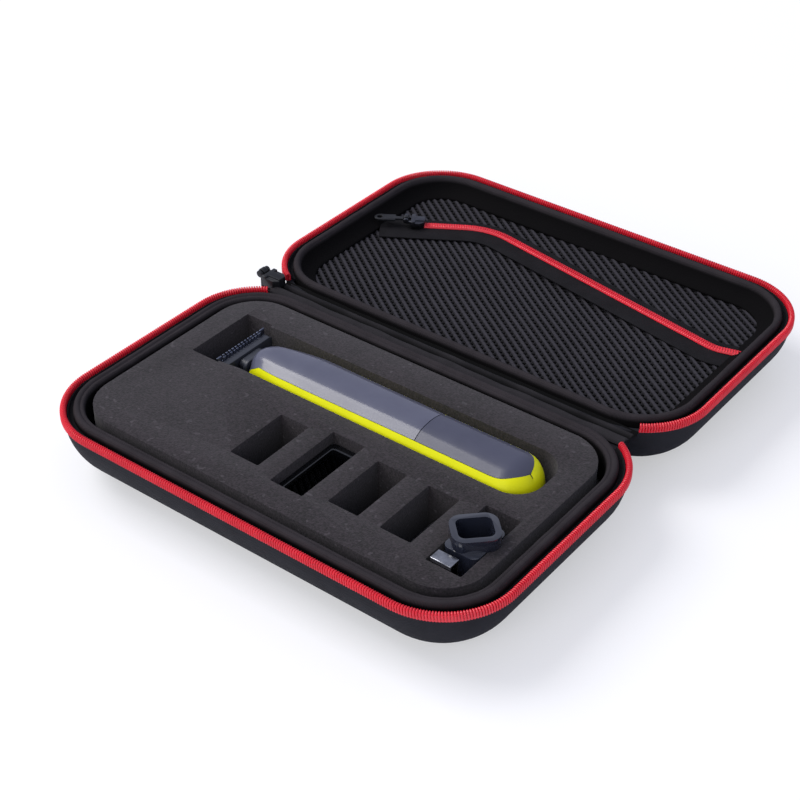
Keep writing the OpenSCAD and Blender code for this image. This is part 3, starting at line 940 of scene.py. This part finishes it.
@dataclass
class Linings:
    """Padded cloth lips inside both rims, with the lid's slope down to the mesh."""

    ruffle_size: float = 9.0
    ruffle_depth: float = 0.35
    base_profile: tuple[Point2, ...] = (
        (4.9, 23.6), (5.1, 26.8), (5.4, 28.6), (6.0, 29.3), (6.9, 29.55), (7.7, 29.25),
        (8.05, 28.6), (8.4, 29.0), (9.2, 28.95), (9.8, 28.2), (10.2, 26.6),
        (10.4, 22.0), (10.4, 14.0), (9.0, 12.0), (6.4, 16.0), (4.9, 20.5),
    )
    lid_profile: tuple[Point2, ...] = (
        (4.9, 23.6), (5.1, 26.8), (5.4, 28.6), (6.0, 29.3), (6.9, 29.55), (7.8, 29.3),
        (8.4, 28.5), (8.8, 27.0), (9.6, 25.4), (11.0, 23.8), (12.8, 22.7),
        (14.8, 21.9), (15.4, 21.2), (14.4, 19.8), (11.0, 18.4), (7.0, 18.8), (5.0, 20.5),
    )

    def build(self) -> None:
        """Models both padded lips."""
        for (half, body), profile in zip(HALVES, (self.base_profile, self.lid_profile)):
            name = f"{half}_lining"
            piece = RIM.placed(RIM.sweep(f"{name}_piece", profile), body)
            modify(piece, "SUBSURF", levels=1, render_levels=1)
            texture = bpy.data.textures.new(f"{name}_ruffle", "CLOUDS")
            texture.noise_scale = self.ruffle_size
            modify(
                piece, "DISPLACE", texture=texture, strength=self.ruffle_depth, mid_level=0.5
            )
            finish(piece, body, "lining_cloth", (name,), angle=80)


@dataclass
class MainZip:
    """Both rows of the main coil zip on their tapes, and the slider parked on the end."""

    low: float = 25.4
    high: float = 29.4
    width: float = 2.6
    pitch: float = 1.08
    wire_r: float = 0.42
    lean: float = 0.3
    foot_gap: float = 0.05
    tape_profile: tuple[Point2, ...] = (
        (2.55, 25.45), (2.6, 27.0), (2.9, 27.4), (3.3, 27.2), (3.5, 26.2),
        (4.2, 25.6), (5.2, 25.5), (5.2, 24.3), (3.7, 24.3),
    )

    @property
    def core_profile(self) -> list[Point2]:
        """Filling inside the loops."""
        centre, shoulder = self.width / 2, self.high - 1.1
        return [
            (centre - 0.55, self.low), (centre - 0.6, shoulder),
            (centre, self.high - 0.75), (centre + 0.6, shoulder), (centre + 0.6, self.low),
        ]

    def coil_loop(self) -> Piece:
        """One loop of the coil: up the outside, over the top and down the inside."""
        half = self.width / 2 - self.wire_r
        foot = self.low + self.wire_r + self.foot_gap
        rise = self.high - half - self.wire_r - foot
        piece = primitive(
            "circle", "coil_loop", vertices=6, radius=self.wire_r, location=(0, half, foot)
        )
        with editing(piece):
            slide((self.lean, 0, rise))
            bpy.ops.mesh.spin(
                steps=4, angle=math.pi, center=(self.lean, 0, foot + rise), axis=(-1, 0, 0)
            )
            slide((self.lean, 0, -rise))
        return piece

    def build(self) -> None:
        """Models the coils, their tapes and the slider."""
        for half, body in HALVES:
            places = RIM.walk(self.pitch, self.width / 2)
            loops = repeat(self.coil_loop(), f"{half}_loops", places)
            core = RIM.sweep(f"{half}_coil_core", self.core_profile, zip_only=True)
            coil = join(f"{half}_zip_coil_piece", loops, core)
            tape = RIM.sweep(f"{half}_zip_tape_piece", self.tape_profile, zip_only=True)
            for piece, slot in ((coil, "zip_coil"), (tape, "zip_tape")):
                RIM.placed(piece, body)
                finish(piece, body, slot, (f"{half}_{slot}",), angle=50)
        refined("main_slider", Body.ROOT, "slider_black", 0.35)
        refined("main_pull", Body.MAIN_PULL, "slider_black", 0.3)


@dataclass
class Hinge:
    """Folded cloth strip that joins the halves, and the patches over its ends."""

    half_length: float = 90.0
    near: float = 60.8
    thickness: float = 0.9
    held_edge: float = 1.5
    fold_z: float = 26.0
    profile: tuple[Point2, ...] = (
        (0.0, 26.4), (0.12, 27.2), (0.3, 27.9), (0.42, 26.6), (0.52, 25.4),
        (0.6, 26.2), (0.7, 26.8), (0.8, 25.4), (0.92, 24.9), (1.0, 25.8),
    )

    def height(self, share: float) -> float:
        """Height of the strip at a share of its width.

        Args:
            share: 0 at the base half, 1 at the lid.

        Returns:
            The height in millimetres.
        """
        for (a, low), (b, high) in zip(self.profile, self.profile[1:]):
            if share <= b:
                t = (share - a) / (b - a)
                return low + (high - low) * t * t * (3 - 2 * t)
        return self.profile[-1][1]

    def build(self) -> None:
        """Models the strip, which also stands in for its end patches."""
        far = 2 * RIM.hinge_y - self.near

        def shape(u: float, v: float) -> Point3:
            """Point of the strip for shares along and across it, softly wavy."""
            x = (2 * u - 1) * self.half_length
            y = self.near + (far - self.near) * v
            wave = 0.25 * math.sin(x / 6.5 + 2 * v) + 0.15 * math.sin(x / 2.9)
            return x, y, self.height(v) + wave * math.sin(math.pi * v)

        piece = surface("hinge_strip_piece", 120, 24, shape)
        modify(piece, "SOLIDIFY", thickness=self.thickness, offset=-1)
        nodes = ("hinge_strip", "zip_end_patches")
        # Its finish paints shade into the strip's valley and highlight on its folds.
        finish(piece, None, "shell_cloth", nodes, angle=80, dress="hinge_cloth")
        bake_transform(piece)


@dataclass
class Insert:
    """Cut foam insert of the base half with the pads under it and in the lid."""

    def build(self) -> None:
        """Models the insert and both floor pads."""
        for node, body, slot, round_mm in (
            ("foam_insert", Body.ROOT, "foam", 0.5),
            ("foam_floor_pad", Body.ROOT, "foam", 0.5),
            # The lining finish paints this low pad all in its shaded colour.
            ("lid_floor_pad", Body.LID, "lining_cloth", 0.4),
        ):
            refined(node, body, slot, round_mm)


@dataclass
class Track:
    """Sizes of the pocket zip's line, from the middle of the lid."""

    start: Point2 = (-92.0, 9.5)
    heading: float = 32.0
    first: float = 40.0
    bend_r: float = 30.0
    fall: float = -10.0
    long: float = 118.8
    end_r: float = 16.0
    end_heading: float = 15.0
    tail: float = 9.0

    def line(self) -> Path:
        """The line itself, from its slider's end."""
        bend = math.radians(self.heading - self.fall) * self.bend_r
        tail_bend = math.radians(self.end_heading - self.fall) * self.end_r
        stretches = (
            (self.first, 0.0), (bend, -self.bend_r), (self.long, 0.0),
            (tail_bend, self.end_r), (self.tail, 0.0),
        )
        return Path((self.start[0], self.start[1] + RIM.lid_y), self.heading, stretches)


@dataclass
class Pocket:
    """Mesh pocket of the lid: two net panels, the sewn tape, its coil and slider."""

    top: float = 21.4
    rib_pitch: float = 3.2
    rib_rise: float = 1.0
    rib_angle: float = -35.0
    hole_pitch: float = 2.7
    hole: float = 0.98
    net_drop: float = 1.3
    net_thick: float = 0.45
    net_reach: Point2 = (230.0, 190.0)
    sag: float = 1.1
    sag_span: Point2 = (200.0, 120.0)
    cut_near: float = 4.0
    cut_far: float = 3.0
    tape_near: float = 10.5
    tape_far: float = 6.5
    tape_thick: float = 0.5
    edge_inset: float = 11.5
    coil_from: float = 20.0
    coil_rise: float = 0.6
    loop_pitch: float = 1.15
    loop_rise: float = 1.72
    loop_lean: float = 9.0
    loop_bend: float = 0.16
    coil_rows: tuple[Point2, ...] = (
        (-1.9, 0.0), (-1.85, 0.5), (-1.3, 0.95), (-0.15, 0.9), (0.0, 0.75),
        (0.15, 0.9), (1.3, 0.95), (1.85, 0.5), (1.9, 0.0),
    )
    line: Path = field(default_factory=lambda: Track().line())

    def inside(self, x: float, y: float, side: int) -> bool:
        """Whether a point of the lid lies on one of the two panels.

        Args:
            x: Place along the case.
            y: Place across the case.
            side: -1 for the panel near the hinge, 1 for the far one.

        Returns:
            True on the panel.
        """
        past_x, past_y = abs(x) - RIM.core_x, abs(y - RIM.lid_y) - RIM.core_y
        reach = RIM.corner - self.edge_inset
        if past_x > 0 and past_y > 0:
            if math.hypot(past_x, past_y) > reach:
                return False
        elif past_x > reach or past_y > reach:
            return False
        edge = self.line.y_at(x)
        return y < edge - self.cut_near if side < 0 else y > edge + self.cut_far

    def net(self, name: str, side: int) -> Piece:
        """A knitted net panel with raised ribs and rows of holes between them.

        Args:
            name: Name of the piece.
            side: -1 for the panel near the hinge, 1 for the far one.

        Returns:
            The panel.
        """
        step_u, step_v = self.hole_pitch / 2, self.rib_pitch / 2
        count_u = int(self.net_reach[0] / step_u) // 2 * 2
        count_v = int(self.net_reach[1] / step_v) // 2 * 2
        turn = math.radians(self.rib_angle)
        cos, sin = math.cos(turn), math.sin(turn)

        def shape(u: float, v: float) -> Point3:
            """Point of the net, with every other row raised as a rib."""
            i, j = round(u * count_u) - count_u // 2, round(v * count_v) - count_v // 2
            along, across = i * step_u, j * step_v
            x = along * cos - across * sin
            y = along * sin + across * cos + RIM.lid_y
            rib = self.rib_rise if j % 2 == 0 else 0.0
            sag = self.sag * math.cos(math.pi * x / self.sag_span[0])
            sag *= math.cos(math.pi * (y - RIM.lid_y) / self.sag_span[1])
            wave = 0.35 * math.sin(x / 17 + 1) * math.sin(y / 13)
            return x, y, self.top - self.net_drop + rib - max(0.0, sag) + wave

        def crossing(co: Vector) -> Point2:
            """Place on the net's grid, in whole numbers at its crossings."""
            x, y = co.x, co.y - RIM.lid_y
            return (x * cos + y * sin) / step_u, (y * cos - x * sin) / step_v

        def is_hole(co: Vector) -> bool:
            """Whether the nearest crossing is the middle of a hole."""
            i, j = (round(part) for part in crossing(co))
            return j % 2 == 1 and (i + j // 2) % 2 == 0

        def is_mouth(face: bmesh.types.BMFace, co: Vector) -> bool:
            """Whether a face is what the bevel put at a hole's own crossing."""
            small = len(face.verts) == 4 and face.calc_area() < 2.6 * self.hole**2
            centred = all(abs(part - round(part)) < 0.15 for part in crossing(co))
            return small and centred and is_hole(co)

        piece = surface(name, count_u, count_v, shape)
        with editing(piece):
            select(piece, Pick.FACE, lambda _, c: not self.inside(c.x, c.y, side))
            bpy.ops.mesh.delete(type="FACE")
            select(piece, Pick.VERT, lambda v, c: is_hole(c) and not v.is_boundary)
            bpy.ops.mesh.bevel(affect="VERTICES", offset=self.hole, segments=1)
            select(piece, Pick.FACE, is_mouth)
            bpy.ops.mesh.delete(type="FACE")
        modify(piece, "SOLIDIFY", thickness=self.net_thick, offset=-1)
        return piece

    def tape(self) -> Piece:
        """Woven tape on both sides of the coil, its edges turned down."""
        total, width = self.line.total, self.tape_near + self.tape_far

        def shape(u: float, v: float) -> Point3:
            """Point of the tape for shares along and across it."""
            x, y = self.line.beside(u * total, width * v - self.tape_near)
            fall = 0.5 * (abs(2 * v - 1) ** 6)
            pucker = 0.12 * math.sin(u * total / 3.1) * math.sin(math.pi * v)
            return x, y, self.top + self.tape_thick - fall + pucker

        piece = surface("pocket_tape_piece", 150, 16, shape)
        modify(piece, "SOLIDIFY", thickness=self.tape_thick, offset=-1)
        return piece

    def coil(self) -> Piece:
        """Closed coil: a low band with the loops across it."""
        total = self.line.total - self.coil_from
        rows = len(self.coil_rows) - 1

        def shape(u: float, v: float) -> Point3:
            """Point of the band for shares along and across it."""
            offset, z = self.coil_rows[round(v * rows)]
            x, y = self.line.beside(self.coil_from + u * total, offset)
            return x, y, self.top + self.coil_rise + z

        band = surface("pocket_band", 150, rows, shape)
        loop = primitive(
            "cylinder", "pocket_loop", vertices=6, radius=0.3, depth=3.4,
            rotation=(math.pi / 2, 0, 0),
        )
        with editing(loop):
            bpy.ops.mesh.subdivide(number_cuts=2)
        for vert in loop.data.vertices:
            vert.co.z -= self.loop_bend * vert.co.y**2
        height, lean = self.top + self.loop_rise, self.loop_lean
        places = [
            self.line.stood(self.coil_from + (i + 0.5) * self.loop_pitch, height, lean)
            for i in range(int(total / self.loop_pitch))
        ]
        return join("pocket_coil_piece", repeat(loop, "pocket_loops", places), band)

    def build(self) -> None:
        """Models the whole pocket."""
        for name, side, flat in (
            ("pocket_mesh_near", -1, (0.19, 0.078)),
            ("pocket_mesh_far", 1, (0.17, 0.034)),
        ):
            piece = self.net(f"{name}_piece", side)
            finish(piece, Body.LID, "pocket_mesh", (name,), angle=80)
        tape = finish(self.tape(), Body.LID, "zip_tape", ("pocket_tape",), angle=80)
        finish(self.coil(), Body.LID, "zip_coil", ("pocket_coil",), angle=50)
        refined("pocket_slider", Body.POCKET_SLIDER, "slider_metal", 0.25)
        refined("pocket_pull", Body.POCKET_PULL, "slider_black", 0.2)


@dataclass
class Handle:
    """The shaver's handle: lime front shell, grey back shell and its rear cover."""

    front: float = -60.0
    rear: float = 79.0
    middle_y: float = 20.5
    width: float = 27.4
    height: float = 28.3
    rest: float = 5.7
    seam: float = 30.8
    cover_break: float = 28.0
    cover_gap: float = 0.35
    back_end: float = 76.0
    back_end_r: float = 14.0
    end_power: float = 2.5
    rear_round: float = 12.0
    front_round: float = 9.0
    front_taper: float = 36.0
    nose_wide: float = 0.42
    nose_tall: float = 0.62
    nose_drop: float = 0.05
    nose_share: float = 0.22
    belly_rise: float = 0.16
    belly_share: float = 0.72
    bulge_power: float = 0.78
    shoulder: float = 0.64
    side_rise: float = 0.7
    lip: float = 0.55
    lip_row: float = 0.12
    seam_points: tuple[Point2, ...] = (
        (-1.0, -11.0), (3.0, -4.6), (8.0, -1.4), (26.0, -0.2), (140.0, 0.0),
    )

    @staticmethod
    def ease(t: float) -> float:
        """Smooth step from 0 to 1."""
        c = min(1.0, max(0.0, t))
        return c * c * (3 - 2 * c)

    @staticmethod
    def end_round(d: float, r: float) -> float:
        """Rounding towards an end."""
        return 1.0 if d >= r else math.sqrt(max(0.02, 1 - (1 - d / r) ** 2))

    def half(self, x: float) -> Point3:
        """Half width, half height and middle height at a place along the handle.

        Args:
            x: The place.

        Returns:
            The three sizes in millimetres.
        """
        past = x - self.front
        share = past / (self.rear - self.front)
        drop = self.height * self.nose_drop * (1 - self.ease(share / self.nose_share))
        rise = self.height * self.belly_rise * (1 - self.ease(share / self.belly_share))
        upper, lower = self.rest + self.height - drop, self.rest + rise
        rear = self.end_round(self.rear - x, self.rear_round)
        wide = self.nose_wide + (1 - self.nose_wide) * self.end_round(past, self.front_taper)
        tall = self.nose_tall + (1 - self.nose_tall) * self.end_round(past, self.front_round)
        return (
            self.width / 2 * rear * wide,
            (upper - lower) / 2 * rear * tall,
            (upper + lower) / 2,
        )

    def seam_angle(self, x: float) -> float:
        """Angle at which the seam lies on the section, from the side to the top.

        Args:
            x: Place along the handle.

        Returns:
            The angle in radians.
        """
        _, tall, middle = self.half(x)
        d, z = x - self.front, self.seam
        for (a, low), (b, high) in zip(self.seam_points, self.seam_points[1:]):
            if a <= d <= b:
                z = self.seam + low + (high - low) * (d - a) / (b - a)
        rise = max(0.0, min(1.0, (z - middle) / tall)) ** (1 / self.bulge_power)
        past = max(0.0, x - (self.back_end - self.back_end_r)) / self.back_end_r
        power = self.end_power
        narrow = max(0.0, 1 - past**power) ** (1 / power / self.bulge_power)
        return math.acos(math.cos(math.asin(rise)) * narrow)

    def point(self, x: float, angle: float, sink: float) -> Point3:
        """Point of the skin, sunk by some millimetres towards the middle.

        Args:
            x: Place along the handle.
            angle: Place round the section, 0 at the far side.
            sink: How far below the skin.

        Returns:
            The point.
        """
        wide, tall, middle = self.half(x)
        cos, sin = math.cos(angle), math.sin(angle)
        y = wide * math.copysign(abs(cos) ** self.bulge_power, cos)
        z = tall * math.copysign(abs(sin) ** self.bulge_power, sin)
        keep = max(0.0, 1 - sink / (math.hypot(y, z) or 1.0))
        return x, self.middle_y + y * keep, middle + z * keep

    def shouldered(self, spot: Point3, x: float, seam: float, sink: float) -> Point3:
        """Gives the back its slanted sides and flatter top.

        Args:
            spot: Point of the round skin.
            x: Place along the handle.
            seam: Angle of the seam there.
            sink: How far the point lies below the skin.

        Returns:
            The point with its height changed.
        """
        _, side, low = self.point(x, seam, 0.0)
        high = self.point(x, math.pi / 2, 0.0)[2]
        reach = abs(side - self.middle_y)
        if reach < 1.0 or high - low < 0.3:
            return spot
        share = min(1.0, abs(spot[1] - self.middle_y) / reach)
        if share > self.shoulder:
            rise = self.side_rise * (1 - share) / (1 - self.shoulder)
        else:
            rise = 1 - (1 - self.side_rise) * (share / self.shoulder) ** 2
        return spot[0], spot[1], low + (high - low) * rise - sink

    def roll(self, share: float, count: int) -> Point2:
        """Share moved off the edge, and how far the first row sinks.

        Args:
            share: Place of a row, 0 to 1.
            count: Faces from edge to edge.

        Returns:
            The moved share and the depth.
        """
        step = 1.0 / count
        if share < step * 0.5 or share > 1 - step * 0.5:
            return share, self.lip
        if share < step * 1.5:
            return step * self.lip_row, 0.0
        if share > 1 - step * 1.5:
            return 1 - step * self.lip_row, 0.0
        return share, 0.0

    def skin(
        self, name: str, x_from: float, x_to: float, back: bool, rows: int, columns: int
    ) -> Piece:
        """One moulded part of the skin, its edges rolled in at the seams.

        Args:
            name: Name of the piece.
            x_from: Where it starts along the handle.
            x_to: Where it ends.
            back: True for the grey back, False for the lime front.
            rows: Faces round the section.
            columns: Faces along the handle.

        Returns:
            The part as a sheet of faces.
        """

        def shape(u: float, v: float) -> Point3:
            """Point of the part for shares along and round it, closer towards the ends."""
            v, sink = self.roll(v, rows)
            if back:
                u, sink_u = self.roll(u, columns)
                sink = max(sink, 2 * sink_u)
            x = x_from + (x_to - x_from) * (1 - math.cos(math.pi * u)) / 2
            seam = self.seam_angle(x)
            if not back:
                angle = math.pi - seam + (math.pi + 2 * seam) * v
                return self.point(x, angle, sink if x < self.back_end else 0.0)
            angle = seam + (math.pi - 2 * seam) * v
            return self.shouldered(self.point(x, angle, sink), x, seam, sink)

        return surface(name, columns, rows, shape)

    def build(self) -> None:
        """Models the three skins and dresses the small parts in them."""
        front, back, cover = "handle_front_shell", "handle_back_shell", "handle_rear_cover"
        cover_start = self.cover_break + self.cover_gap
        piece = self.skin(f"{front}_piece", self.front, self.rear, False, 44, 72)
        with editing(piece):
            ends = (self.front, self.rear)
            select(piece, Pick.EDGE, lambda _, c: min(abs(c.x - end) for end in ends) < 1e-3)
            bpy.ops.mesh.edge_face_add()
        tidy(piece, 0.02)
        finish(piece, Body.SHAVER, "handle_lime", (front,), angle=50)
        for node, x_from, x_to, dress in (
            (back, self.front, self.cover_break, None),
            (cover, cover_start, self.back_end, "cover_grey"),
        ):
            piece = self.skin(f"{node}_piece", x_from, x_to, True, 26, 48)
            tidy(piece, 0.02)
            finish(piece, Body.SHAVER, "handle_grey", (node,), angle=50, dress=dress)
        refined("charge_socket", Body.SHAVER, "dark_plastic", 0.15)
        refined("power_button", Body.BUTTON, "button_grey", 0.4)


@dataclass
class BladeHead:
    """Blade head with its toothed guard, cutter and drive."""

    def build(self) -> None:
        """Dresses every part of the head."""
        for node, body, slot, round_mm in (
            ("blade_mount", Body.SHAVER, "dark_plastic", 0.3),
            ("drive_pin", Body.PIN, "steel", 0.1),
            ("blade_frame", Body.HEAD, "dark_plastic", 0.3),
            ("blade_guard", Body.HEAD, "steel", 0.08),
            ("blade_cutter", Body.CUTTER, "steel", 0.05),
        ):
            refined(node, body, slot, round_mm)


@dataclass
class Attachments:
    """Combs, skin guard and clip in their slots."""

    def build(self) -> None:
        """Dresses every attachment, each a body of its own."""
        for body, slot, round_mm, dress in (
            (Body.TRIM_COMB, "comb_black", 0.25, "comb_smoke"),
            (Body.STUBBLE_COMB, "comb_black", 0.25, None),
            (Body.GUARD, "guard_grey", 0.6, None),
            (Body.CLIP, "clip_silver", 0.3, None),
        ):
            refined(body.value, body, slot, round_mm, dress)


@dataclass
class PhotoCamera:
    """Camera at the photograph's viewing angle, worked out from both zip outlines."""

    focal_px: float = 1673.9
    image_px: float = 800.0
    sensor_mm: float = 36.0
    yaw: float = 37.05
    elevation: float = 36.16
    roll: float = 0.51
    offset: Point2 = (0.2227, 0.1219)
    distance: float = 6.2501
    unit_mm: float = 104.0
    plane_mm: float = 27.4

    def build(self) -> None:
        """Adds the camera and makes it the scene's."""
        a, e, roll = (math.radians(v) for v in (self.yaw, self.elevation, self.roll))
        cos_e = math.cos(e)
        back = Vector((math.sin(a) * cos_e, -math.cos(a) * cos_e, math.sin(e)))
        right = Vector((math.cos(a), math.sin(a), 0))
        up = back.cross(right)
        side = math.cos(roll) * right + math.sin(roll) * up
        high = -math.sin(roll) * right + math.cos(roll) * up
        spot = back * self.distance + side * self.offset[0] + high * self.offset[1]
        data = bpy.data.cameras.new("photo_camera")
        data.sensor_width = self.sensor_mm
        data.lens = self.focal_px * self.sensor_mm / self.image_px
        data.clip_start, data.clip_end = 0.01, 50
        camera = link("photo_camera", data)
        place = Matrix((side, high, back)).transposed().to_4x4()
        place.translation = spot * self.unit_mm * MM + Vector((0, 0, self.plane_mm * MM))
        camera.matrix_world = place
        bpy.context.scene.camera = camera


@dataclass
class Studio:
    """White floor, pale surroundings and soft lamps."""

    fill: float = 0.6
    sky: Point3 = (0.77, 0.81, 1.0)
    floor_colour: Point3 = (0.93, 0.94, 0.97)
    floor_size: float = 14.0
    floor_drop: float = 0.0004
    glow: float = 1.12
    glow_share: float = 0.42
    fade: Point2 = (0.2, 1.6)
    aim: Point3 = (0, 0.06, 0.02)
    lamp_colour: Point3 = (1.0, 0.975, 0.94)
    lamps: tuple[tuple[str, Point3, float, float], ...] = (
        ("key", (-2.4, -0.48, 2.8), 2.1, 92.0),
        ("front", (0.3, -2.0, 1.2), 1.2, 15.0),
    )

    def world(self) -> None:
        """Soft light from all round, and white for the camera."""
        paint = Paint("studio", "worlds")
        seen = paint.node("ShaderNodeLightPath", out="Is Camera Ray")
        sky = (*self.sky, 1)
        soft = paint.node("ShaderNodeBackground", Color=sky, Strength=self.fill)
        white = paint.node("ShaderNodeBackground", Color=(1, 1, 1, 1))
        mix = paint.node("ShaderNodeMixShader", ins=(seen, soft, white))
        paint.end(mix, "ShaderNodeOutputWorld")
        bpy.context.scene.world = paint.owner

    def floor(self) -> None:
        """A white floor that keeps the case's shadow and fades to white far away."""
        piece = primitive(
            "plane", "floor", size=self.floor_size, location=(0, 0, -self.floor_drop)
        )
        paint = Paint("floor")
        soft = paint.node("ShaderNodeBsdfDiffuse", Color=(*self.floor_colour, 1))
        glow = paint.node("ShaderNodeEmission", Color=(1, 1, 1, 1), Strength=self.glow)
        seen = paint.node("ShaderNodeLightPath", out="Is Camera Ray")
        x, y, _ = paint.parts(paint.place())
        far = (x * x + y * y).step(*self.fade)
        share = seen * (far * (1 - self.glow_share) + self.glow_share)
        paint.end(paint.node("ShaderNodeMixShader", ins=(share, soft, glow)))
        piece.data.materials.append(paint.owner)

    def build(self) -> None:
        """Adds the surroundings and the lamps, each aimed at the case."""
        self.world()
        self.floor()
        for name, spot, size, power in self.lamps:
            data = bpy.data.lights.new(name, "AREA")
            data.size = size
            data.energy = power
            data.color = self.lamp_colour
            lamp = link(name, data)
            lamp.location = spot
            way = Vector(self.aim) - Vector(spot)
            lamp.rotation_euler = way.to_track_quat("-Z", "Y").to_euler()
        bpy.context.scene.view_settings.view_transform = "Standard"


def main() -> None:
    """Builds the sub-assemblies in order."""
    logging.basicConfig(level=logging.INFO, format="%(name)s: %(message)s")
    PhotoCamera().build()
    Studio().build()
    for part in (
        Shells(), Linings(), MainZip(), Hinge(), Insert(), Pocket(),
        Handle(), BladeHead(), Attachments(),
    ):
        LOG.info("building %s", type(part).__name__)
        part.build()
    clear()


if __name__ == "__main__":
    main()
